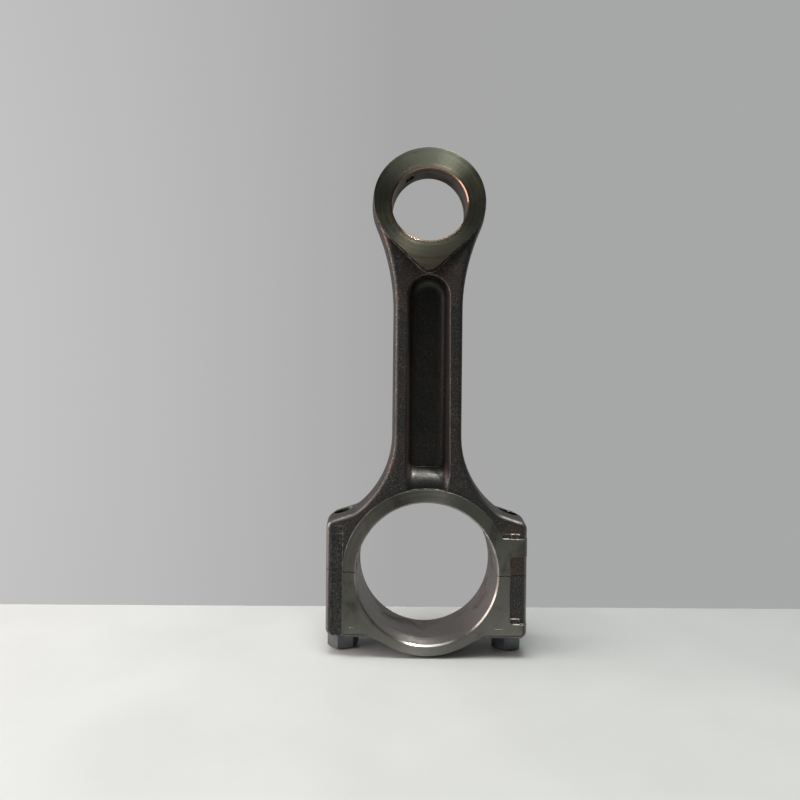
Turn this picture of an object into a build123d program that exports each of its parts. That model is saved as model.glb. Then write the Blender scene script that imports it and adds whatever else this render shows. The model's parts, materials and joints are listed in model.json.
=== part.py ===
from build123d import *
from math import atan, cos, degrees, radians, sqrt, tan
import os

# Connecting rod of a small diesel engine: a forged I-section rod with a fracture-split big end,
# its bearing cap, two cap screws and the bush of the wedge-shaped small end.
#
# Frame: the origin is the centre of the big-end bore. +Z runs up the shank to the small end,
# Y is the direction of both bores, and X runs across, through the two screw bosses.
# The forging is symmetrical about the XZ plane, where its two die halves met.

# Driving dimensions, in mm and degrees

centre_distance = 145.0  # big-end bore to small-end bore
forging_draft = 5.0  # slope of the forged flanks away from the parting plane
flank_fillet = 2.0  # rounding between the flanks and the front and back faces

big_bore_r = 27.5  # housing bore of the bearing shells
big_bore_chamfer = 0.6
thrust_width = 26.0  # over the machined side faces of the big end
ring_wall = 5.2  # machined ring around the big-end bore
ring_chamfer = 0.4
boss_setback = 1.2  # forged boss faces, behind the machined faces
ledge_setback = 0.6  # the narrow ledges between them
cap_wall = 5.2  # metal of the cap under the big-end bore

screw_r = 4.4  # cap screw thread, over its crests
screw_waist_r = 3.9  # reduced shank between head and thread
thread_clearance = 0.05  # radial, screw in the tapped hole
cap_hole_clearance = 0.2  # radial, screw in the cap's hole
bore_to_hole_wall = 1.2  # metal between the big-end bore and a screw hole
drill_r = 4.2  # drilled hole above the thread, open at the shoulder
hole_to_side_wall = 2.2  # metal outside a screw hole

seat_allowance = 0.9  # forged surface below the machined seats
seat_margin = 1.6  # flat seat around the screw head
head_height = 7.6
head_across_flats = 11.0
head_washer_r = 6.1
head_washer_height = 0.8
head_chamfer = 0.7
head_turn = 15.0  # of the hexagons, about their axes
head_fillet = 0.5  # under the head
hole_mouth = 0.7  # countersink of the screw hole at its seat
thread_chamfer = 0.8
thread_reach = 17.0  # end of the screws, above the bore's centre
thread_start = 3.0  # lower end of the threaded length, below the bore's centre

shoulder_height = 22.4  # top of the bosses on the screw axes
shoulder_slope = 18.0
shoulder_corner_r = 4.0
shoulder_land = 4.4  # shoulder flat between the screw axis and the shank's foot
foot_slope = 40.0  # steepest part of the flare from shank to shoulder
foot_r = 37.0
shoulder_inner_r = 6.0
boss_corner_r = 4.0
cap_blend_r = 8.0  # between the screw seats and the cap's round back

shank_half_width = 14.1  # at the parting plane
web_thickness = 5.5
pocket_half_width = 8.7  # at the rim
pocket_draft = 11.0
pocket_floor_fillet = 3.5
pocket_rim_fillet = 0.7
pocket_end_r = 8.0  # ramp at the lower end of the pocket, round the ring
ramp_overlap = 0.2  # the ramp ends this far under the ring
land_start = 28.0  # above here each face of the shank leans in towards the small end
land_step = 0.5  # shank's faces over the eye's faces, on the level of the small-end bore

small_bore_r = 15.0
small_bore_chamfer = 0.5
bush_wall = 1.8
eye_wall = 6.3
eye_rise = 1.2  # centre of the eye's outside, above the small-end bore's centre
eye_width = 16.0  # of the small end, on the level of its bore's centre
eye_face_slope = 8.0  # each face leans in towards the top
eye_blend_r = 85.0  # between shank and eye
pad_inset = 1.1  # machined pad inside the eye's outline
pad_tip_r = 5.0
pad_tip_reach = 5.8  # tip of the pad, beyond the pad's round part
pad_draft = 14.0

oil_hole_r = 2.0
oil_hole_angle = 32.0  # from the top of the eye, towards -X

tang_slot_width = 5.0
tang_slot_height = 3.3
tang_slot_depth = 1.4
tang_slot_offset = 9.5  # centre of the slot, forward of the middle
tang_slot_above_split = 0.9

oil_hole_mouth = 1.2  # widening of the oil hole where it leaves the eye

relief_depth = 0.2  # shallow three-cornered reliefs on the cap's machined faces
relief_rise = 4.2  # lower edge of a relief, above the screw seats
relief_inset = 2.5  # outer edge of a relief, inside the ring's outside
relief_corner_r = 1.0
face_corner_r = 3.0  # lower corner of the cap's machined face, at the left boss

right_face_top = 13.8  # upper end of the machined face on the right boss
right_ledge_top = 15.7
ledge_side_wall = 3.8  # boss outside the ledges
recess_top = 7.0  # unmachined patch on the side of the right boss
recess_bottom = -19.2
recess_ledge_top = -17.2
recess_inset = 0.4  # the patch starts this far inside the ring's outside
recess_corner_r = 1.5
strip_top = 18.1  # sunk strip down the left boss
strip_ledge_bottom = 15.1
strip_step = 0.45  # each of its two steps
strip_side_wall = 3.1  # boss outside the strip

# The fracture line, seen along the bores: height over distance from each screw axis

crack_left = [(-14, 1.0), (-5.5, 1.15), (-3.4, 0.9), (-1.2, 1.25), (0.6, 1.0), (1.0, 0.5),
              (3.0, 0.68), (5.2, 0.42), (9.0, 0.55)]
crack_right = [(-9.0, -0.3), (-4.6, -0.52), (-2.8, -0.28), (-0.4, -0.6), (2.6, -0.36),
               (5.4, -0.66), (14, -0.5)]

# Sizes that follow from them

half_width = thrust_width / 2
boss_face = half_width - boss_setback
ledge_face = half_width - ledge_setback
ring_r = big_bore_r + ring_wall
cap_hole_r = screw_r + cap_hole_clearance
tapped_hole_r = screw_r + thread_clearance
screw_x = big_bore_r + bore_to_hole_wall + cap_hole_r
boss_x = screw_x + cap_hole_r + hole_to_side_wall
cap_back_r = big_bore_r + cap_wall
seat_depth = cap_back_r - head_height  # the screw heads are level with the cap's back

bush_r = small_bore_r + bush_wall
eye_r = bush_r + eye_wall

shoulder_edge_z = shoulder_height - (boss_x - screw_x) * tan(radians(shoulder_slope))
foot_x = screw_x - shoulder_land
foot_z = shoulder_height + shoulder_land * tan(radians(shoulder_slope))
foot_top = foot_z + (foot_x - shank_half_width) * tan(radians(foot_slope))
eye_centre_z = centre_distance + eye_rise
eye_joint_z = eye_centre_z - sqrt(eye_r**2 - shank_half_width**2)
forged_seat = seat_depth + seat_allowance
cap_joint_x = sqrt(cap_back_r**2 - forged_seat**2)
seat_inner_x = screw_x - head_washer_r - seat_margin

pad_r = eye_r - pad_inset
pad_tip_drop = pad_r + pad_tip_reach
low_z = centre_distance - pad_tip_drop - pad_tip_r  # below the pad
high_z = centre_distance + 2 * eye_r  # above the eye
land_slope = degrees(atan((boss_face - eye_width / 2 - land_step) / (centre_distance - land_start)))
pocket_top_z = centre_distance - pad_tip_drop - pocket_half_width
ramp_end_r = ring_r - ramp_overlap
beyond = 2 * boss_x  # long enough to pass right through


def corner_pair(sketch, x, z):
    """The outline corner nearest to (x, z) and its mirror image."""
    return [sketch.vertices().sort_by_distance((side * x, z, 0))[0] for side in (1, -1)]


# Outline of the whole forging on its parting plane

with BuildSketch() as outline:
    with BuildLine():
        Polyline(
            (0, centre_distance),
            (shank_half_width, centre_distance),
            (shank_half_width, foot_top),
            (foot_x, foot_z),
            (boss_x, shoulder_edge_z),
            (boss_x, -forged_seat),
            (0, -forged_seat),
            close=True,
        )
    make_face()
    mirror(about=Plane.YZ)
    with Locations((0, eye_centre_z)):
        Circle(eye_r)
    Circle(cap_back_r)
    fillet(corner_pair(outline.sketch_local, shank_half_width, eye_joint_z), eye_blend_r)
    fillet(corner_pair(outline.sketch_local, shank_half_width, foot_top), foot_r)
    fillet(corner_pair(outline.sketch_local, foot_x, foot_z), shoulder_inner_r)
    fillet(corner_pair(outline.sketch_local, boss_x, shoulder_edge_z), shoulder_corner_r)
    fillet(corner_pair(outline.sketch_local, boss_x, -forged_seat), boss_corner_r)
    fillet(corner_pair(outline.sketch_local, cap_joint_x, -forged_seat), cap_blend_r)

# Blank with drafted flanks, as thick as the finished big end

with BuildPart() as blank:
    with BuildSketch(Plane.XZ):
        add(outline.sketch)
    extrude(amount=half_width)
    draft(blank.faces().sort_by(Axis.Y)[1:-1], Plane.XZ, forging_draft)
    mirror(about=Plane.XZ)

# Pocket on the front of the shank: drafted walls, a round upper end and a ramp at the ring

with BuildPart() as pocket:
    pocket_height = boss_face - web_thickness / 2
    floor_half_width = pocket_half_width - pocket_height * tan(radians(pocket_draft))
    with BuildSketch(Plane.XZ.offset(web_thickness / 2)):
        with BuildLine():
            Polyline((floor_half_width, pocket_top_z), (floor_half_width, 0),
                     (-floor_half_width, 0), (-floor_half_width, pocket_top_z))
            RadiusArc((-floor_half_width, pocket_top_z), (floor_half_width, pocket_top_z),
                      floor_half_width)
        make_face()
    extrude(amount=thrust_width, taper=-pocket_draft)
    floor_y = -web_thickness / 2
    ramp_y = floor_y - pocket_end_r
    with BuildSketch(Plane.XY):
        with BuildLine():
            Polyline((ramp_end_r + pocket_end_r, floor_y), (0, floor_y), (0, -beyond),
                     (ramp_end_r, -beyond), (ramp_end_r, ramp_y))
            RadiusArc((ramp_end_r, ramp_y), (ramp_end_r + pocket_end_r, floor_y), -pocket_end_r)
        make_face()
    revolve(axis=Axis.Y, mode=Mode.SUBTRACT)
    long_edges = pocket.edges().filter_by(lambda edge: abs(edge.center().X) > 1)
    floor_edges = long_edges.filter_by(lambda edge: edge.center().Y > ramp_y)
    floor_end = pocket.edges().filter_by(GeomType.CIRCLE).sort_by(Axis.Y)[-1]
    fillet(floor_edges + [floor_end], pocket_floor_fillet)

# Teardrop pad on the front of the small end, with its tip towards the pocket

with BuildPart() as pad:
    with BuildSketch(Plane.XZ.offset(eye_width / 2)):
        with Locations((0, eye_centre_z)):
            Circle(pad_r)
        with Locations((0, centre_distance - pad_tip_drop + pad_tip_r)):
            Circle(pad_tip_r)
        make_hull()
    extrude(amount=half_width)
    draft(pad.faces().sort_by(Axis.Y)[1:-1], Plane.XZ.offset(eye_width / 2), pad_draft)

# Space outside the leaning machined faces of the small end, front and back

with BuildPart() as eye_faces:
    face_lean = tan(radians(eye_face_slope))
    low_y = eye_width / 2 + (centre_distance - low_z) * face_lean
    high_y = eye_width / 2 + (centre_distance - high_z) * face_lean
    with BuildSketch(Plane.YZ):
        with BuildLine():
            Polyline((low_y, low_z), (high_y, high_z), (beyond, high_z), (beyond, low_z), close=True)
        make_face()
        mirror(about=Plane.YZ)
    extrude(amount=beyond, both=True)

# The forging: leaning shank faces, rounded flanks, pockets and pads

with BuildPart() as forging:
    add(blank.part)
    top_y = boss_face - (high_z - land_start) * tan(radians(land_slope))
    with BuildSketch(Plane.YZ):
        with BuildLine():
            Polyline((0, -beyond), (boss_face, -beyond), (boss_face, land_start), (top_y, high_z),
                     (0, high_z), close=True)
        make_face()
        mirror(about=Plane.YZ)
    extrude(amount=beyond, both=True, mode=Mode.INTERSECT)
    lands = forging.faces().filter_by(lambda face: abs(face.center().Y) > boss_face / 2)
    fillet(lands.edges().filter_by(Axis.X, reverse=True), flank_fillet)
    add(pocket.part, mode=Mode.SUBTRACT)
    add(pocket.part.mirror(Plane.XZ), mode=Mode.SUBTRACT)
    pocketed_faces = forging.faces().filter_by(lambda face: len(face.inner_wires()) == 1)
    for face in pocketed_faces:
        rim = face.inner_wires()[0].edges()
        fillet(rim.sort_by(Axis.Z)[1:], pocket_rim_fillet)
    add(pad.part)
    add(pad.part.mirror(Plane.XZ))
    add(eye_faces.part, mode=Mode.SUBTRACT)

# Machined faces of the big end: the cap's whole face except the left boss, and the lower part
# of the rod's right boss, with an unmachined patch on the right side

with BuildPart() as machined_faces:
    add(blank.part)
    with BuildSketch(Plane.XZ) as machined_outline:
        with Locations((-ring_r, 0)):
            Rectangle(ring_r, seat_depth, align=(Align.MIN, Align.MAX))
        left_corner = machined_outline.sketch_local.vertices().sort_by_distance((-ring_r, -seat_depth, 0))
        fillet(left_corner[0], face_corner_r)
        Circle(cap_back_r)
        with Locations((0, right_face_top)):
            Rectangle(beyond, 2 * beyond, align=(Align.MIN, Align.MAX))
        patch_height = recess_top - recess_bottom
        with Locations((ring_r - recess_inset, recess_bottom)):
            Rectangle(beyond, patch_height, align=(Align.MIN, Align.MIN), mode=Mode.SUBTRACT)
    extrude(amount=beyond, both=True, mode=Mode.INTERSECT)
    patch_corners = machined_faces.edges().filter_by(Axis.Y)
    patch_corners = patch_corners.filter_by_position(Axis.X, ring_r - 2 * recess_inset, ring_r)
    fillet(patch_corners, recess_corner_r)
    side_edges = machined_faces.edges().filter_by(Axis.Z)
    side_edges = side_edges.filter_by(lambda edge: abs(edge.center().Y) > boss_face)
    fillet(side_edges.filter_by(lambda edge: edge.center().X > screw_x), flank_fillet)

# Narrow ledges that lead up to the machined faces on the right boss

with BuildPart() as ledges:
    add(blank.part)
    with BuildSketch(Plane.XZ):
        ledge_x = boss_x - ledge_side_wall
        with Locations((ledge_x, right_ledge_top)):
            Rectangle(ledge_x - ring_r, right_ledge_top - recess_top, align=Align.MAX)
        with Locations((ledge_x, recess_ledge_top)):
            Rectangle(ledge_x - ring_r, recess_ledge_top - recess_bottom, align=Align.MAX)
    extrude(amount=ledge_face, both=True, mode=Mode.INTERSECT)

# Machined ring around the big-end bore

with BuildPart() as ring:
    with BuildSketch(Plane.XZ):
        Circle(ring_r)
    extrude(amount=half_width, both=True)
    chamfer(ring.edges().filter_by(GeomType.CIRCLE), ring_chamfer)
    add(blank.part, mode=Mode.INTERSECT)

# Rod and cap in one piece, bored and machined, before they are broken apart

with BuildPart() as whole:
    add(forging.part)
    add(machined_faces.part)
    add(ledges.part)
    add(ring.part)
    strip_x = -boss_x + strip_side_wall
    for face_y in (boss_face, -boss_face):
        with BuildSketch(Plane.XZ.offset(face_y)):
            with Locations((strip_x, strip_top)):
                Rectangle(-ring_r - strip_x, beyond, align=(Align.MIN, Align.MAX))
        extrude(amount=strip_step, both=True, mode=Mode.SUBTRACT)
        with BuildSketch(Plane.XZ.offset(face_y)):
            with Locations((strip_x, strip_ledge_bottom)):
                Rectangle(-ring_r - strip_x, beyond, align=(Align.MIN, Align.MAX))
        extrude(amount=2 * strip_step, both=True, mode=Mode.SUBTRACT)
    for face_y in (half_width, -half_width):
        with BuildSketch(Plane.XZ.offset(face_y)) as reliefs:
            with Locations((0, relief_rise - seat_depth)):
                relief_width = 2 * (ring_r - relief_inset)
                Rectangle(relief_width, seat_depth - relief_rise, align=(Align.CENTER, Align.MIN))
            Circle(ring_r, mode=Mode.SUBTRACT)
            fillet(reliefs.sketch_local.vertices(), relief_corner_r)
        extrude(amount=relief_depth, both=True, mode=Mode.SUBTRACT)
    with BuildSketch(Plane.XY.offset(-seat_depth)):
        for side in (1, -1):
            with Locations((side * seat_inner_x, 0)):
                toward = Align.MIN if side > 0 else Align.MAX
                Rectangle(beyond, thrust_width, align=(toward, Align.CENTER))
    extrude(amount=-beyond, mode=Mode.SUBTRACT)
    mouth_r = big_bore_r + big_bore_chamfer
    with BuildSketch(Plane.XY):
        with BuildLine():
            Polyline((0, 0), (big_bore_r, 0), (big_bore_r, half_width - big_bore_chamfer),
                     (mouth_r, half_width), (0, half_width), close=True)
        make_face()
        mirror(about=Plane.XZ)
    revolve(axis=Axis.Y, mode=Mode.SUBTRACT)
    with BuildSketch(Plane.XZ):
        with Locations((0, centre_distance)):
            Circle(bush_r)
    extrude(amount=half_width, both=True, mode=Mode.SUBTRACT)

# Everything below the fracture line

with BuildPart() as below_crack:
    with BuildSketch(Plane.XZ):
        with BuildLine():
            crack = [(-screw_x + along, height) for along, height in crack_left]
            crack += [(screw_x + along, height) for along, height in crack_right]
            Polyline(*crack, (crack[-1][0], -beyond), (crack[0][0], -beyond), close=True)
        make_face()
    extrude(amount=beyond, both=True)

# Oil hole down to the small-end bore, with a wider mouth in the outside of the eye

with BuildPart() as oil_hole:
    eye_centre = Vector(0, 0, centre_distance)
    oil_direction = Vector(0, 0, 1).rotate(Axis.Y, -oil_hole_angle)
    with BuildSketch(Plane(origin=eye_centre, x_dir=(0, 1, 0), z_dir=oil_direction)):
        Circle(oil_hole_r)
    eye_outside = eye_r + eye_rise * cos(radians(oil_hole_angle))
    extrude(amount=eye_outside + oil_hole_r)
    mouth_bottom = eye_centre + oil_direction * (eye_outside - oil_hole_mouth)
    with BuildSketch(Plane(origin=mouth_bottom, x_dir=(0, 1, 0), z_dir=oil_direction)):
        Circle(oil_hole_r)
    mouth_top = mouth_bottom + oil_direction * 2 * oil_hole_mouth
    with BuildSketch(Plane(origin=mouth_top, x_dir=(0, 1, 0), z_dir=oil_direction)):
        Circle(oil_hole_r + 2 * oil_hole_mouth)
    loft()

# Rod, with its tapped screw holes, oil hole and the slot for the shell's locating tang

with BuildPart() as rod_forging:
    add(whole.part)
    add(below_crack.part, mode=Mode.SUBTRACT)
    add(oil_hole.part, mode=Mode.SUBTRACT)
    hole_places = [(screw_x, 0), (-screw_x, 0)]
    with BuildSketch(Plane.XY.offset(-seat_depth)):
        with Locations(*hole_places):
            Circle(tapped_hole_r)
    extrude(amount=seat_depth + thread_reach + thread_chamfer, mode=Mode.SUBTRACT)
    with BuildSketch(Plane.XY):
        with Locations(*hole_places):
            Circle(drill_r)
    extrude(amount=beyond, mode=Mode.SUBTRACT)
    slot_bottom = crack_left[-1][1] + tang_slot_above_split
    with BuildSketch(Plane.XY.offset(slot_bottom)):
        with Locations((-big_bore_r - tang_slot_depth, -tang_slot_offset)):
            Rectangle(big_bore_r, tang_slot_width, align=(Align.MIN, Align.CENTER))
    extrude(amount=tang_slot_height, mode=Mode.SUBTRACT)

rod_forging.part.label = "rod_forging"

# Bearing cap, with clear holes for the screws

with BuildPart() as bearing_cap:
    add(whole.part)
    add(below_crack.part, mode=Mode.INTERSECT)
    with BuildSketch(Plane.XY.offset(-seat_depth)):
        with Locations(*hole_places):
            Circle(cap_hole_r)
    extrude(amount=beyond, mode=Mode.SUBTRACT)
    with BuildSketch(Plane.XY.offset(-seat_depth)):
        with Locations(*hole_places):
            Circle(cap_hole_r + hole_mouth)
    extrude(amount=hole_mouth, taper=45, mode=Mode.SUBTRACT)

bearing_cap.part.label = "bearing_cap"

# Small-end bush: a bronze tube, cut to the same leaning faces as the eye

with BuildPart() as small_end_bush:
    with BuildSketch(Plane.XZ):
        with Locations((0, centre_distance)):
            Circle(bush_r)
            Circle(small_bore_r, mode=Mode.SUBTRACT)
    extrude(amount=half_width, both=True)
    add(eye_faces.part, mode=Mode.SUBTRACT)
    mouth_edges = small_end_bush.edges().filter_by(GeomType.ELLIPSE).sort_by(SortBy.LENGTH)[:2]
    chamfer(mouth_edges, small_bore_chamfer)
    add(oil_hole.part, mode=Mode.SUBTRACT)

small_end_bush.part.label = "small_end_bush"


def cap_screw(side):
    """Cap screw of one boss: hexagon head with a washer face, waisted shank, threaded end."""
    seat = Plane(origin=(side * screw_x, 0, -seat_depth))
    profile_plane = Plane(origin=seat.origin, x_dir=(1, 0, 0), z_dir=(0, -1, 0))
    screw_axis = Axis(seat.origin, (0, 0, 1))
    corner_r = head_across_flats / sqrt(3)
    thread_z = seat_depth - thread_start
    end_z = seat_depth + thread_reach
    with BuildPart() as screw:
        with BuildSketch(seat.offset(-head_height)):
            RegularPolygon(head_across_flats / 2, 6, major_radius=False, rotation=head_turn)
        extrude(amount=head_height)
        with BuildSketch(profile_plane):
            with BuildLine():
                Polyline((0, 0), (corner_r, 0), (corner_r, head_chamfer - head_height),
                         (corner_r - 2 * head_chamfer, -head_height), (0, -head_height), close=True)
            make_face()
        revolve(axis=screw_axis, mode=Mode.INTERSECT)
        with BuildSketch(profile_plane) as profile:
            with BuildLine():
                Polyline(
                    (0, -head_washer_height),
                    (head_washer_r, -head_washer_height),
                    (head_washer_r, 0),
                    (screw_waist_r, 0),
                    (screw_waist_r, thread_z - thread_chamfer),
                    (screw_r, thread_z),
                    (screw_r, end_z - thread_chamfer),
                    (screw_r - thread_chamfer, end_z),
                    (0, end_z),
                    close=True,
                )
            make_face()
            corners = profile.sketch_local.vertices()
            fillet(corners.sort_by_distance((screw_waist_r, 0, 0))[0], head_fillet)
        revolve(axis=screw_axis)
    return screw.part


cap_screw_left = cap_screw(-1)
cap_screw_left.label = "cap_screw_left"
cap_screw_right = cap_screw(1)
cap_screw_right.label = "cap_screw_right"

os.makedirs("parts", exist_ok=True)
export_step(rod_forging.part, "parts/rod_forging.step")
export_step(bearing_cap.part, "parts/bearing_cap.step")
export_step(small_end_bush.part, "parts/small_end_bush.step")
export_step(cap_screw_left, "parts/cap_screw_left.step")
export_step(cap_screw_right, "parts/cap_screw_right.step")
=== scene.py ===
import json
import math

import bpy
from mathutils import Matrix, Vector


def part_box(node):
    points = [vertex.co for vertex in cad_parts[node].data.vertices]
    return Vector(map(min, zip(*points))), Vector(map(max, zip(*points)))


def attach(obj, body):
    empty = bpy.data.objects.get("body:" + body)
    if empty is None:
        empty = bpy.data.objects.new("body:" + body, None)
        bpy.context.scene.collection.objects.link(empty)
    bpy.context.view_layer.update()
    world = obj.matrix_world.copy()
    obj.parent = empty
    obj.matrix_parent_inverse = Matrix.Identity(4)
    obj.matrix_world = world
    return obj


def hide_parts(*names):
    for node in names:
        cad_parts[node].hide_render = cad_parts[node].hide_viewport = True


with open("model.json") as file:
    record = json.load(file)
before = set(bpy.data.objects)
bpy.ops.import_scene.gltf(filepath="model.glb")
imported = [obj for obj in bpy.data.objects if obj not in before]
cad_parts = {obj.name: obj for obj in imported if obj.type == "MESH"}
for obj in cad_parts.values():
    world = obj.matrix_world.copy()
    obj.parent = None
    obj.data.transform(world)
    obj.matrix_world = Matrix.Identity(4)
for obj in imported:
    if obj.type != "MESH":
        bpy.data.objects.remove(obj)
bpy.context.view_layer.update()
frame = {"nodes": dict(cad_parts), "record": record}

# Connecting rod: materials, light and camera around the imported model. Metres, in the model's own
# frame: the origin is the big-end bore's centre, +Z runs up the shank, Y along the bores.
# Textures are worked out in millimetres of each piece's own coordinates, so they ride with it.

MM = 0.001

NODES = frame["nodes"]
MOUNTS = {mount["name"]: mount for mount in frame["record"]["mounts"]}
BIG_BORE_R = MOUNTS["big_end_bore"]["dims"]["r_mm"]
CENTRE_DISTANCE = MOUNTS["small_end_bore"]["pos_m"][2] / MM
ROD_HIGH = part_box("rod_forging")[1] / MM
CAP_LOW, CAP_HIGH = [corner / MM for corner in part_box("bearing_cap")]
SCREW_LOW, SCREW_HIGH = [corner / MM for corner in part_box("cap_screw_right")]
SCREW_X = (SCREW_LOW.x + SCREW_HIGH.x) / 2
THRUST_Y = CAP_HIGH.y  # machined side faces of the big end

RING_CHAMFER = 0.4
FACE_TOLERANCE = 0.01  # mm, for the points of a flat face
THRUST_POINTS = [vertex.co / MM for vertex in NODES["rod_forging"].data.vertices
                 if abs(vertex.co.y) / MM > THRUST_Y - FACE_TOLERANCE]
RING_R = max(point.z for point in THRUST_POINTS) + RING_CHAMFER

LEDGE_GAP = 0.6  # from the ring's outside to a ledge
LEFT_LEDGE_REACH = 4.0  # the left boss's ledges end this far outside the ring
RIGHT_LEDGE_REACH = 2.8  # the right boss's ledges end this far outside its screw's axis
UPPER_LEDGE_X = 29.5  # inner end of the right boss's upper ledge, where the ring curves away

# Edges of the ledges on the bosses, in mm: from X, to X, and their heights. They get painted highlights.
LEDGE_HIGHLIGHT_EDGES = ((-RING_R - LEFT_LEDGE_REACH, -RING_R - LEDGE_GAP, (18.0, 15.1)),
              (UPPER_LEDGE_X, SCREW_X + RIGHT_LEDGE_REACH, (15.6, 13.8)),
              (RING_R + LEDGE_GAP, SCREW_X + RIGHT_LEDGE_REACH, (-17.3, -19.2)))


# Camera and stage

def make_camera():
    """Camera in front of the rod, a little to its left, at half its height, and turned 0.6 degrees."""
    data = bpy.data.cameras.new("camera")
    data.sensor_width = 36
    data.lens = 25.5
    data.shift_x = -0.0036
    data.shift_y = -0.0025
    data.clip_start = 0.01
    camera = bpy.data.objects.new("camera", data)
    camera.location = (-9.85 * MM, -232 * MM, 68.1 * MM)
    camera.rotation_euler = (math.radians(90), math.radians(-0.6), 0)
    bpy.context.scene.collection.objects.link(camera)
    bpy.context.scene.camera = camera


def make_floor():
    """Pale floor under the cap. It ends close behind the rod, as a bench against a wall."""
    gap = 0.02  # mm, under the lowest point of the rod
    floor_z = (min(SCREW_LOW.z, CAP_LOW.z) - gap) * MM
    back_y = 42 * MM
    reach = 1.5
    skew = reach * math.tan(math.radians(0.7))  # the back edge isn't quite square to the rod
    tree = Tree("floor_paint")
    mottle = tree.noise(tree.position(), 0.02, 3)
    tree.shade(colour=tree.ramp(mottle, [(0.3, (0.66, 0.665, 0.66)), (0.7, (0.72, 0.725, 0.72))]),
               roughness=0.45)
    mesh = bpy.data.meshes.new("floor")
    mesh.from_pydata([(-reach, -reach, floor_z), (reach, -reach, floor_z),
                      (reach, back_y + skew, floor_z), (-reach, back_y - skew, floor_z)],
                     [], [(0, 1, 2, 3)])
    mesh.materials.append(tree.material)
    floor = bpy.data.objects.new("floor", mesh)
    bpy.context.scene.collection.objects.link(floor)


def area_light(name, place, target, size, power, colour):
    """A rectangular light at a place, aimed at a target. Metres and watts."""
    data = bpy.data.lights.new(name, "AREA")
    data.shape = "RECTANGLE"
    data.size, data.size_y = size
    data.energy = power
    data.color = colour
    light = bpy.data.objects.new(name, data)
    light.location = place
    light.rotation_euler = (Vector(target) - Vector(place)).to_track_quat("-Z", "Y").to_euler()
    bpy.context.scene.collection.objects.link(light)
    return light


def make_light():
    """A warm key from the left, a softbox overhead, a small lamp high on the right, and a dim room."""
    area_light("key_left", (-0.55, -0.10, 0.16), (0, 0, 0.05), (0.45, 0.45), 3.2, (1, 0.90, 0.88))
    area_light("overhead", (-0.06, -0.10, 0.60), (0, 0, 0.05), (0.40, 0.22), 3.0, (0.96, 1, 0.97))
    lamp = area_light("lamp", (0.42, -0.20, 1.60), (0, 0, 0.05), (0.08, 0.30), 42.0, (1, 1, 0.95))
    lamp.visible_diffuse = False  # it only glints on the turned faces
    world = bpy.data.worlds.new("room")
    world.use_nodes = True
    room = Tree(node_tree=world.node_tree)
    direction = room.add("ShaderNodeTexCoord").outputs["Generated"]
    across, along, height = room.split(direction)
    behind = room.remap(along, -0.15, 0.35)
    leftward = room.remap(across, 0.1, -0.9)
    upward = room.remap(height, 0.25, 1.0)
    # The backdrop that the camera sees is painted lighter on the left and darker on the right: painted
    # light from the key.
    painted_backdrop = room.ramp(room.remap(across, -0.6, 0.6), [(0.0, (0.56, 0.55, 0.555)),
                                                     (0.5, (0.385, 0.385, 0.385)),
                                                     (1.0, (0.385, 0.395, 0.395))])
    lit = room.mix(behind, (0.055, 0.057, 0.055), (0.27, 0.275, 0.27))
    lit = room.mix(leftward, lit, (0.42, 0.39, 0.385))
    lit = room.mix(upward, lit, (0.22, 0.23, 0.22))
    camera_ray = room.add("ShaderNodeLightPath").outputs["Is Camera Ray"]
    background = world.node_tree.nodes["Background"]
    world.node_tree.links.new(room.mix(camera_ray, lit, painted_backdrop), background.inputs["Color"])
    bpy.context.scene.world = world


# Material building

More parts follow.
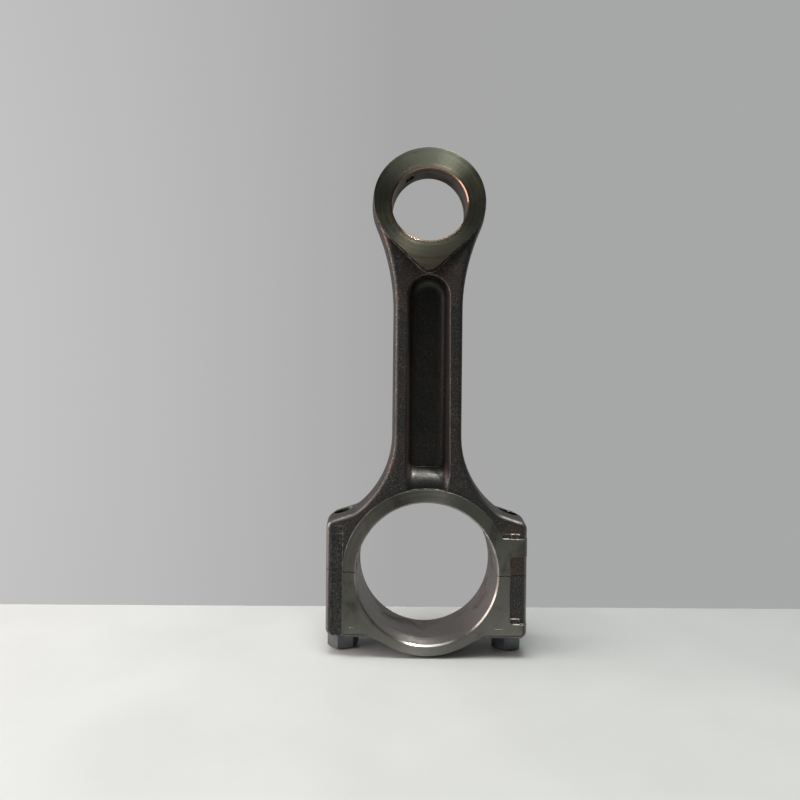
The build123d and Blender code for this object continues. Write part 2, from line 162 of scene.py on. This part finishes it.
class Tree:
    """A material's node tree, with short calls for the nodes used below."""

    def __init__(self, name="", node_tree=None):
        if node_tree is None:
            self.material = bpy.data.materials.new(name)
            self.material.use_nodes = True
            node_tree = self.material.node_tree
        self.tree = node_tree

    def add(self, kind, inputs=None, **settings):
        node = self.tree.nodes.new(kind)
        for name, value in settings.items():
            setattr(node, name, value)
        for name, value in (inputs or {}).items():
            self.set(node.inputs[name], value)
        return node

    def set(self, socket, value):
        """Links a socket, or sets a number or a colour on it."""
        if isinstance(value, bpy.types.NodeSocket):
            self.tree.links.new(value, socket)
        elif socket.type == "RGBA" and len(value) == 3:
            socket.default_value = (*value, 1)
        else:
            socket.default_value = value

    def math(self, operation, first, second=0.0):
        return self.add("ShaderNodeMath", {0: first, 1: second}, operation=operation).outputs[0]

    def vector_math(self, operation, first, second=(0, 0, 0)):
        node = self.add("ShaderNodeVectorMath", {0: first, 1: second}, operation=operation)
        return node.outputs["Value" if operation in ("LENGTH", "DOT_PRODUCT") else "Vector"]

    def split(self, vector):
        return self.add("ShaderNodeSeparateXYZ", {0: vector}).outputs

    def position(self):
        """The point on the piece, in millimetres of the model's frame at rest."""
        place = self.add("ShaderNodeTexCoord").outputs["Object"]
        return self.vector_math("MULTIPLY", place, (1 / MM, 1 / MM, 1 / MM))

    def noise(self, vector, per_mm, detail=2.0, roughness=0.5, distortion=0.0):
        return self.add("ShaderNodeTexNoise", {"Vector": vector, "Scale": per_mm, "Detail": detail,
                                               "Roughness": roughness,
                                               "Distortion": distortion}).outputs["Fac"]

    def lines(self, distance, per_mm, detail=2.0):
        """Noise that changes along one measure only, such as the radius of a turned face."""
        return self.add("ShaderNodeTexNoise", {"W": distance, "Scale": per_mm, "Detail": detail},
                        noise_dimensions="1D").outputs["Fac"]

    def remap(self, value, low, high, new_low=0.0, new_high=1.0):
        return self.add("ShaderNodeMapRange", {"Value": value, "From Min": low, "From Max": high,
                                               "To Min": new_low, "To Max": new_high}
                        ).outputs["Result"]

    def ramp(self, value, stops):
        node = self.add("ShaderNodeValToRGB", {"Fac": value})
        elements = node.color_ramp.elements
        while len(elements) < len(stops):
            elements.new(0.5)
        for element, (place, colour) in zip(elements, stops):
            element.position = place
            element.color = (*colour, 1)
        return node.outputs["Color"]

    def mix(self, share, first, second, blend="MIX"):
        node = self.add("ShaderNodeMix", data_type="RGBA", blend_type=blend)
        for socket, value in (("Factor_Float", share), ("A_Color", first), ("B_Color", second)):
            self.set(next(s for s in node.inputs if s.identifier == socket), value)
        return next(s for s in node.outputs if s.identifier == "Result_Color")

    def band(self, value, centre, half_width):
        """1 where the value is within half_width of the centre, with a soft edge."""
        distance = self.math("ABSOLUTE", self.math("SUBTRACT", value, centre))
        return self.remap(distance, 1.3 * half_width, 0.7 * half_width)

    def normal(self):
        return self.add("ShaderNodeNewGeometry").outputs["Normal"]

    def bevel(self, radius_mm):
        return self.add("ShaderNodeBevel", {"Radius": radius_mm * MM}, samples=6).outputs["Normal"]

    def edges(self, rounded):
        """1 on the sharp edges of the piece, 0 on its faces, from a bevel's normal."""
        turn = self.vector_math("DOT_PRODUCT", rounded, self.normal())
        return self.remap(turn, 0.995, 0.90)

    def bump(self, height, depth_mm, normal=None):
        inputs = {"Height": height, "Distance": depth_mm * MM, "Strength": 1.0}
        if normal is not None:
            inputs["Normal"] = normal
        return self.add("ShaderNodeBump", inputs).outputs["Normal"]

    def shade(self, colour, roughness, normal=None, metallic=0.0, coat=0.0, coat_roughness=0.2,
              anisotropic=0.0, tangent=None):
        shader = self.tree.nodes["Principled BSDF"]
        self.set(shader.inputs["Base Color"], colour)
        self.set(shader.inputs["Roughness"], roughness)
        shader.inputs["Metallic"].default_value = metallic
        shader.inputs["Coat Weight"].default_value = coat
        shader.inputs["Coat Roughness"].default_value = coat_roughness
        shader.inputs["Anisotropic"].default_value = anisotropic
        if normal is not None:
            self.set(shader.inputs["Normal"], normal)
        if tangent is not None:
            self.set(shader.inputs["Tangent"], tangent)
        return self.material


def crack_points():
    """X and height of the fracture line's points, in mm: those that rod and cap share."""
    def corners(node):
        return {tuple(round(value / MM, 2) for value in vertex.co)
                for vertex in NODES[node].data.vertices}
    profile = {x: z for x, _, z in corners("rod_forging") & corners("bearing_cap")}
    return sorted(profile.items())


CRACK = crack_points()


def crack_mask(tree, position, half_width):
    """1 along the fracture line between rod and cap."""
    across, _, height = tree.split(position)
    reach = ROD_HIGH.x + 1
    span = 4.0  # mm of height that the curve covers, half of it above the origin
    curve = tree.add("ShaderNodeFloatCurve", {"Value": tree.remap(across, -reach, reach)})
    line = curve.mapping.curves[0]
    for x, z in CRACK:
        line.points.new((x + reach) / (2 * reach), z / span + 0.5)
    for point in line.points:
        point.handle_type = "VECTOR"
    curve.mapping.update()
    level = tree.math("MULTIPLY", tree.math("SUBTRACT", curve.outputs["Value"], 0.5), span)
    distance = tree.math("ABSOLUTE", tree.math("SUBTRACT", height, level))
    return tree.remap(distance, half_width, 0.4 * half_width)


def ledge_highlight_lines(tree, across, height):
    """1 on the edges of the ledges of both bosses, which are painted bright: painted highlights."""
    edge_half_width = 0.17
    total = None
    for low_x, high_x, heights in LEDGE_HIGHLIGHT_EDGES:
        span = tree.band(across, (low_x + high_x) / 2, (high_x - low_x) / 2)
        for edge_z in heights:
            line = tree.math("MULTIPLY", span, tree.band(height, edge_z, edge_half_width))
            total = line if total is None else tree.math("MAXIMUM", total, line)
    return total


def forged_skin():
    """Dark, slightly oily forging scale: fine grain, pits, brown patches, rubbed edges, rust, with
    painted highlights and painted shade.
    """
    flash_edge = 1.25, 0.95  # mm from the parting plane, outside and inside
    tree = Tree("forged_skin")
    place = tree.position()
    across, depth, height_up = tree.split(place)
    off_axis = tree.math("ABSOLUTE", across)
    off_middle = tree.math("ABSOLUTE", depth)
    facing = tree.math("ABSOLUTE", tree.split(tree.normal())[1])
    grain = tree.noise(place, 1.7, 4, 0.65)
    pits = tree.noise(place, 0.55, 3, 0.6)
    waves = tree.noise(place, 0.13, 2)
    patches = tree.noise(place, 0.045, 4, 0.6, 0.6)
    flash = tree.remap(off_middle, *flash_edge)
    rounded = tree.bevel(0.45)
    rubbed = tree.math("MULTIPLY", tree.edges(rounded), tree.remap(pits, 0.42, 0.62))
    # The fillets of the big end get a painted highlight in their colour, and are made smoother.
    fillet_highlight = tree.math("MULTIPLY", tree.band(facing, 0.55, 0.32), tree.remap(height_up, 32, 20))
    # The pocket is painted darker, as painted shade, and so is the ramp at its lower end, which rises to
    # the ring.
    shade_top = tree.remap(height_up, 48, 42, 5.0, 12.0)
    pocket_shade = tree.math("MULTIPLY", tree.remap(tree.math("SUBTRACT", off_middle, shade_top), 1.5, -1.5),
                      tree.remap(off_axis, 8.5, 6.5))
    # The outer part of the pocket's walls is rusty and painted lighter: rust, and painted light.
    rust_and_painted_light = tree.math("MULTIPLY", tree.band(off_axis, 7.7, 0.7), tree.remap(off_middle, 4.0, 6.0))
    rust_and_painted_light = tree.math("MULTIPLY", rust_and_painted_light, tree.remap(facing, 0.8, 0.5))
    # Painted highlights along the edges of the ledges.
    painted_ledge_glint = ledge_highlight_lines(tree, across, height_up)
    painted_ledge_glint = tree.math("MULTIPLY", painted_ledge_glint, tree.remap(off_middle, THRUST_Y - 1.8, THRUST_Y - 1.4))
    painted_ledge_glint = tree.math("MULTIPLY", painted_ledge_glint, tree.remap(pits, 0.36, 0.50))

    colour = tree.ramp(patches, [(0.36, (0.050, 0.052, 0.054)), (0.50, (0.070, 0.066, 0.063)),
                                 (0.64, (0.105, 0.074, 0.062))])
    colour = tree.mix(tree.remap(grain, 0.60, 0.36), colour, (0.022, 0.021, 0.020))
    # Light specks on the grain's peaks: worn metal, and painted glints.
    colour = tree.mix(tree.remap(grain, 0.62, 0.72), colour, (0.26, 0.25, 0.24))
    colour = tree.mix(tree.math("MULTIPLY", flash, 0.35), colour, (0.20, 0.18, 0.17))
    colour = tree.mix(tree.math("MULTIPLY", rubbed, 0.75), colour, (0.34, 0.32, 0.30))
    colour = tree.mix(tree.math("MULTIPLY", fillet_highlight, 0.8), colour, (0.19, 0.175, 0.17))
    colour = tree.mix(tree.math("MULTIPLY", pocket_shade, 0.65), colour, (0.016, 0.017, 0.015))
    colour = tree.mix(tree.math("MULTIPLY", rust_and_painted_light, 0.7), colour, (0.17, 0.125, 0.115))
    colour = tree.mix(painted_ledge_glint, colour, (0.21, 0.205, 0.195))
    colour = tree.mix(crack_mask(tree, place, 0.22), colour, (0.006, 0.006, 0.006))

    roughness = tree.remap(grain, 0.3, 0.7, 0.58, 0.40)
    roughness = tree.math("SUBTRACT", roughness, tree.math("MULTIPLY", rubbed, 0.12))
    roughness = tree.math("SUBTRACT", roughness, tree.math("MULTIPLY", fillet_highlight, 0.12))
    height = tree.math("ADD", tree.math("MULTIPLY", grain, 0.45), tree.math("MULTIPLY", pits, 0.9))
    height = tree.math("ADD", height, tree.math("MULTIPLY", waves, 1.2))
    height = tree.math("ADD", height, tree.math("MULTIPLY", flash, 0.8))
    return tree.shade(colour, roughness, tree.bump(height, 0.09, rounded), metallic=0.9, coat=0.12,
                      coat_roughness=0.25)


def scratches(tree, place, turn, per_mm):
    """Sparse straight scratches, one way across a face."""
    spin = tree.add("ShaderNodeVectorRotate", {"Vector": place, "Axis": (0, 1, 0), "Angle": turn})
    stretched = tree.vector_math("MULTIPLY", spin.outputs["Vector"], (per_mm, 0.1, 0.035))
    return tree.remap(tree.noise(stretched, 1.0, 2), 0.70, 0.76)


def turned_metal(name, centre_z, light, dark, stain, roughness, along_bore=False, anisotropic=0.8,
                 painted_height_tone=None):
    """Machined steel or bronze with tool marks round a bore: rings on a face, hoops in the bore.

    painted_height_tone is a tone of painted light or shade that comes in from one height down to a lower
    one, with its greatest share.
    """
    tree = Tree(name)
    place = tree.position()
    from_axis = tree.vector_math("SUBTRACT", place, (0, 0, centre_z))
    from_axis = tree.vector_math("MULTIPLY", from_axis, (1, 0, 1))
    measure = tree.split(place)[1] if along_bore else tree.vector_math("LENGTH", from_axis)
    wander = tree.math("MULTIPLY", tree.noise(place, 0.04, 2), 0.9)
    measure = tree.math("ADD", measure, wander)
    fine = tree.lines(measure, 5.0, 3)
    bands = tree.lines(measure, 0.55, 2)
    stains = tree.noise(place, 0.07, 5, 0.62, 0.8)
    cloud = tree.noise(place, 0.02, 2)
    specks = tree.noise(place, 1.1, 3, 0.7)
    rounded = tree.bevel(0.15)
    edge = tree.edges(rounded)
    nicks = tree.math("ADD", scratches(tree, place, 0.5, 1.6), scratches(tree, place, -0.9, 1.2))

    colour = tree.mix(tree.remap(cloud, 0.35, 0.65), dark, light)
    colour = tree.mix(tree.math("MULTIPLY", tree.remap(bands, 0.35, 0.7), 0.35), colour, light)
    colour = tree.mix(tree.math("MULTIPLY", tree.remap(fine, 0.55, 0.3), 0.30), colour, dark)
    colour = tree.mix(tree.math("MULTIPLY", tree.remap(stains, 0.52, 0.68), 0.7), colour, stain)
    if painted_height_tone:
        high, low, share, tone = painted_height_tone
        below = tree.remap(tree.split(place)[2], high, low, 0.0, share)
        colour = tree.mix(below, colour, tone)
    colour = tree.mix(tree.remap(specks, 0.66, 0.74), colour, (0.03, 0.025, 0.02))
    colour = tree.mix(tree.math("MULTIPLY", nicks, 0.5), colour, light)
    colour = tree.mix(tree.math("MULTIPLY", edge, 0.25), colour, light)
    colour = tree.mix(crack_mask(tree, place, 0.20), colour, (0.008, 0.007, 0.006))

    rough = tree.remap(stains, 0.45, 0.7, roughness, roughness + 0.16)
    rough = tree.math("ADD", rough, tree.remap(bands, 0.3, 0.7, -0.05, 0.05))
    height = tree.math("ADD", fine, tree.math("MULTIPLY", bands, 1.5))
    height = tree.math("SUBTRACT", height, tree.math("MULTIPLY", nicks, 1.2))
    if along_bore:
        across_marks = tree.add("ShaderNodeCombineXYZ", {"Y": 1.0}).outputs["Vector"]
    else:
        across_marks = tree.vector_math("NORMALIZE", from_axis)
    return tree.shade(colour, rough, tree.bump(height, 0.006, rounded), metallic=1.0,
                      anisotropic=anisotropic, tangent=across_marks)


def cut_steel():
    """Drilled holes, screw seats and slots: dull machined steel, dark with oil."""
    tree = Tree("cut_steel")
    place = tree.position()
    fine = tree.noise(place, 2.5, 3, 0.6)
    rounded = tree.bevel(0.2)
    colour = tree.ramp(tree.noise(place, 0.15, 3), [(0.35, (0.06, 0.057, 0.052)),
                                                   (0.65, (0.13, 0.125, 0.115))])
    colour = tree.mix(tree.math("MULTIPLY", tree.edges(rounded), 0.6), colour, (0.4, 0.39, 0.36))
    return tree.shade(colour, tree.remap(fine, 0.3, 0.7, 0.34, 0.5),
                      tree.bump(fine, 0.02, rounded), metallic=1.0)


def fracture_steel():
    """Broken faces between rod and cap: bright, coarse crystalline grain."""
    tree = Tree("fracture_steel")
    place = tree.position()
    grain = tree.noise(place, 1.6, 6, 0.75)
    facets = tree.add("ShaderNodeTexVoronoi", {"Vector": place, "Scale": 2.2}).outputs["Distance"]
    colour = tree.ramp(grain, [(0.35, (0.10, 0.10, 0.10)), (0.65, (0.42, 0.41, 0.40))])
    height = tree.math("ADD", grain, facets)
    return tree.shade(colour, tree.remap(grain, 0.3, 0.7, 0.55, 0.32), tree.bump(height, 0.25),
                      metallic=1.0)


def screw_steel():
    """Phosphated, oiled screw steel: blue-black, with rubbed corners."""
    tree = Tree("screw_steel")
    place = tree.position()
    fine = tree.noise(place, 2.2, 4, 0.6)
    patches = tree.noise(place, 0.2, 3)
    rounded = tree.bevel(0.25)
    rubbed = tree.math("MULTIPLY", tree.edges(rounded), tree.remap(patches, 0.3, 0.6, 0.4, 1.0))
    colour = tree.ramp(patches, [(0.35, (0.090, 0.100, 0.108)), (0.65, (0.145, 0.155, 0.163))])
    colour = tree.mix(tree.remap(fine, 0.60, 0.70), colour, (0.15, 0.12, 0.10))
    colour = tree.mix(tree.math("MULTIPLY", rubbed, 0.6), colour, (0.30, 0.31, 0.33))
    return tree.shade(colour, tree.remap(fine, 0.3, 0.7, 0.60, 0.44),
                      tree.bump(fine, 0.02, rounded), metallic=0.9, coat=0.2, coat_roughness=0.3)


# Which finish each face of the CAD pieces gets. Measures in mm.

EYE_REACH = 40  # the small end's machined faces lie within this of its bore's axis
EYE_LEAN = 0.12  # they look up by more than this
SPLIT_REACH = 1.6  # height of the broken faces, either side of the bore's axis
RELIEF_DEPTH = 0.45  # covers the machined faces and the shallow reliefs in them
MOUTH_REACH = 0.75  # covers the chamfer at the mouth of the big-end bore
RING_EDGE_REACH = 0.5
RING_EDGE_DEPTH = 1.5
SLOT_REACH = 1.5  # covers the slots in the big-end bore
SCREW_HOLE_R = 5.6  # with its countersinks
ON_SURFACE = 0.05


def steel_finish(centre, normal):
    """Name of the finish of one face of the rod or the cap, from its middle and its normal."""
    facing = abs(normal.y)
    off_middle = abs(centre.y)
    big_r = math.hypot(centre.x, centre.z)
    small_r = math.hypot(centre.x, centre.z - CENTRE_DISTANCE)
    screw_r = math.hypot(abs(centre.x) - SCREW_X, centre.y)
    near_split = abs(centre.z) < SPLIT_REACH and abs(centre.x) > BIG_BORE_R - 3
    if small_r < EYE_REACH and facing > 0.98 and normal.z > EYE_LEAN:
        return "eye_face"
    if big_r < BIG_BORE_R + ON_SURFACE and facing < 0.1:
        return "big_bore"
    if near_split and abs(normal.z) > 0.4:
        return "fracture_steel"
    if off_middle > THRUST_Y - RELIEF_DEPTH and facing > 0.99:
        return "big_face"
    # The chamfer at the bore's mouth gets a lighter finish than the bore: a painted highlight.
    if off_middle > THRUST_Y - MOUTH_REACH and big_r < BIG_BORE_R + MOUTH_REACH:
        return "bore_mouth_painted_highlight"
    ring_edge = abs(big_r - RING_R) < RING_EDGE_REACH and off_middle > THRUST_Y - RING_EDGE_DEPTH
    screw_hole = screw_r < SCREW_HOLE_R and abs(normal.z) < 0.9
    screw_seat = normal.z < -0.99
    # The ring's chamfer gets the dark cut steel: painted shade that dims its glint.
    if (ring_edge and facing < 0.95) or big_r < BIG_BORE_R + SLOT_REACH or screw_hole or screw_seat:
        return "cut_steel"
    return "forged_skin"


def bush_finish(centre, normal):
    """Name of the finish of one face of the bush: its ends, its bore or the bore's mouths."""
    facing = abs(normal.y)
    if facing > 0.95:
        return "bush_end"
    # The mouths' chamfers get a much lighter, coppery finish: cut bronze, and a painted highlight.
    return "bush_mouth_copper_and_highlight" if facing > 0.3 else "bush_bore"


def dress(node, finishes, finish_of):
    """Gives each face of a CAD piece the finish that finish_of names."""
    mesh = NODES[node].data
    names = list(finishes)
    mesh.materials.clear()
    for name in names:
        mesh.materials.append(finishes[name])
    for face in mesh.polygons:
        face.material_index = names.index(finish_of(face.center / MM, face.normal))


# Cap screws, with a helical thread and a finished head

HEAD_HEIGHT = 7.6
HEAD_FLAT_R = 5.5  # axis to the middle of a flat
HEAD_CHAMFER = 0.7
CONE_SPREAD = 2  # radius that the chamfer's cone gains for each mm of height
DIMPLE_R = 3.3  # shallow forged dimple in the end of the head
DIMPLE_DEPTH = 0.45
WASHER_R = 6.1
WASHER_HEIGHT = 0.8
UNDER_HEAD_R = 0.5
WAIST_R = 3.9
THREAD_R = 4.4
THREAD_START = -3.0  # height over the big-end bore's centre
THREAD_PITCH = 1.0
THREAD_DEPTH = 0.58
THREAD_CREST = 0.06  # half of the flat crest, in pitches
THREAD_FLANK = 0.36  # one sloped flank, in pitches
THREAD_LEAD = 0.6  # the groove starts this far below THREAD_START
END_CHAMFER = 0.8
EDGE_STEP = 0.02  # height of the sharp step from hexagon to washer face
SEGMENTS = 72
CHAMFER_STEPS = 7
FILLET_STEPS = 5
THREAD_STEP = 0.1
SHARP_ANGLE = 28


def hexagon_r(angle, corner_angle):
    """Radius of the hexagon at an angle, with one of its corners at corner_angle."""
    sixth = math.pi / 3
    return HEAD_FLAT_R / math.cos((angle - corner_angle) % sixth - sixth / 2)


def thread_r(angle, height):
    """Radius of the right-hand thread: sloped flanks, narrow flat crests, running out at its ends."""
    phase = (height / THREAD_PITCH - angle / (2 * math.pi)) % 1.0
    groove = min(max((abs(phase - 0.5) - THREAD_CREST) / THREAD_FLANK, 0.0), 1.0)
    run_in = min((height - THREAD_START + THREAD_LEAD) / THREAD_PITCH, 1.0)
    tip = THREAD_R - THREAD_DEPTH * groove * max(run_in, 0.0)
    return min(tip, THREAD_R - END_CHAMFER + (SCREW_HIGH.z - height))


def screw_rows(corner_angle):
    """Rings of the screw's surface from the head's end to the tip: each a height and its radius_at."""
    low, top, seat = SCREW_LOW.z, SCREW_HIGH.z, SCREW_LOW.z + HEAD_HEIGHT
    corner_r = HEAD_FLAT_R / math.cos(math.pi / 6)
    flat_r = corner_r - CONE_SPREAD * HEAD_CHAMFER
    rows = [(low + DIMPLE_DEPTH, lambda angle: DIMPLE_R * 0.75),
            (low + 0.3 * DIMPLE_DEPTH, lambda angle: DIMPLE_R * 0.95),
            (low, lambda angle: DIMPLE_R), (low, lambda angle: flat_r)]
    for step in range(1, CHAMFER_STEPS + 1):
        rise = HEAD_CHAMFER * step / CHAMFER_STEPS
        rows.append((low + rise, lambda angle, cone=flat_r + CONE_SPREAD * rise:
                     min(hexagon_r(angle, corner_angle), cone)))
    body_top = seat - WASHER_HEIGHT
    rows.append((body_top, lambda angle: hexagon_r(angle, corner_angle)))
    rows += [(height, lambda angle: max(hexagon_r(angle, corner_angle) - EDGE_STEP, WASHER_R))
             for height in (body_top + EDGE_STEP, seat)]
    for step in range(FILLET_STEPS + 1):
        turn = math.pi / 2 * step / FILLET_STEPS
        radius = WAIST_R + UNDER_HEAD_R * (1 - math.sin(turn))
        height = seat + UNDER_HEAD_R * (1 - math.cos(turn))
        rows.append((height, lambda angle, radius=radius: radius))
    rows.append((THREAD_START - END_CHAMFER, lambda angle: WAIST_R))
    steps = round((top - THREAD_START) / THREAD_STEP)
    for step in range(steps + 1):
        height = THREAD_START + (top - THREAD_START) * step / steps
        rows.append((height, lambda angle, height=height: thread_r(angle, height)))
    return rows


def make_screw(name, side, steel):
    """One cap screw, in the place of its plain CAD piece and with its head turned the same way."""
    centre_x = side * SCREW_X
    head = [vertex.co / MM for vertex in NODES["cap_screw_" + name].data.vertices
            if vertex.co.z / MM < SCREW_LOW.z + HEAD_HEIGHT]
    corner = max(head, key=lambda point: math.hypot(point.x - centre_x, point.y))
    rows = screw_rows(math.atan2(corner.y, corner.x - centre_x))
    points, faces = [], []
    for height, radius_at in rows:
        for segment in range(SEGMENTS):
            angle = 2 * math.pi * segment / SEGMENTS
            radius = radius_at(angle)
            points.append(((centre_x + radius * math.cos(angle)) * MM,
                           radius * math.sin(angle) * MM, height * MM))
    for row in range(len(rows) - 1):
        for segment in range(SEGMENTS):
            here, there = row * SEGMENTS, (row + 1) * SEGMENTS
            beside = (segment + 1) % SEGMENTS
            faces.append((here + segment, here + beside, there + beside, there + segment))
    for ring, height in ((0, rows[0][0]), (len(rows) - 1, rows[-1][0])):
        middle = len(points)
        points.append((centre_x * MM, 0, height * MM))
        for segment in range(SEGMENTS):
            first, second = ring * SEGMENTS + segment, ring * SEGMENTS + (segment + 1) % SEGMENTS
            faces.append((middle, second, first) if ring == 0 else (middle, first, second))
    mesh = bpy.data.meshes.new("screw_" + name)
    mesh.from_pydata(points, [], faces)
    mesh.validate()
    mesh.shade_smooth()
    mesh.set_sharp_from_angle(angle=math.radians(SHARP_ANGLE))
    mesh.materials.append(steel)
    screw = bpy.data.objects.new("cap_screw_" + name + "_threaded", mesh)
    bpy.context.scene.collection.objects.link(screw)
    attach(screw, "screw_" + name)
    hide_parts("cap_screw_" + name)


make_camera()
make_floor()
make_light()

STEEL = {
    "forged_skin": forged_skin(),
    # The big end's faces are painted lighter towards the bottom: painted light.
    "big_face": turned_metal("big_face", 0, (0.155, 0.153, 0.135), (0.080, 0.078, 0.069),
                             (0.050, 0.042, 0.036), 0.44, anisotropic=0.9,
                             painted_height_tone=(-12, -30, 0.7, (0.26, 0.255, 0.235))),
    "big_bore": turned_metal("big_bore", 0, (0.33, 0.30, 0.29), (0.19, 0.175, 0.168),
                             (0.14, 0.105, 0.095), 0.30, along_bore=True),
    # A lighter copy of the bore's steel for its mouth chamfer: a painted highlight.
    "bore_mouth_painted_highlight": turned_metal("bore_mouth_painted_highlight", 0, (0.40, 0.37, 0.34), (0.17, 0.16, 0.145),
                               (0.10, 0.08, 0.07), 0.24),
    # The eye's faces are painted darker towards the bottom: painted shade.
    "eye_face": turned_metal("eye_face", CENTRE_DISTANCE, (0.078, 0.080, 0.060), (0.046, 0.046, 0.035),
                             (0.036, 0.026, 0.018), 0.38,
                             painted_height_tone=(CENTRE_DISTANCE - 14, CENTRE_DISTANCE - 24, 0.85,
                                   (0.026, 0.019, 0.013))),
    "cut_steel": cut_steel(),
    "fracture_steel": fracture_steel(),
}
dress("rod_forging", STEEL, steel_finish)
dress("bearing_cap", STEEL, steel_finish)
BRONZE = {
    "bush_bore": turned_metal("bush_bore", CENTRE_DISTANCE, (0.095, 0.075, 0.058), (0.045, 0.036, 0.027),
                              (0.03, 0.022, 0.017), 0.28, along_bore=True),
    "bush_end": turned_metal("bush_end", CENTRE_DISTANCE, (0.095, 0.088, 0.066), (0.055, 0.048, 0.036),
                             (0.04, 0.028, 0.02), 0.36),
    # Cut bronze on the mouths' chamfers, painted much lighter than the bush: a painted highlight.
    "bush_mouth_copper_and_highlight": turned_metal("bush_mouth_copper_and_highlight", CENTRE_DISTANCE, (0.34, 0.20, 0.135), (0.09, 0.06, 0.042),
                               (0.06, 0.04, 0.027), 0.18),
}
dress("small_end_bush", BRONZE, bush_finish)
SCREW_STEEL = screw_steel()
make_screw("left", -1, SCREW_STEEL)
make_screw("right", 1, SCREW_STEEL)

bpy.context.scene.view_settings.view_transform = "Standard"
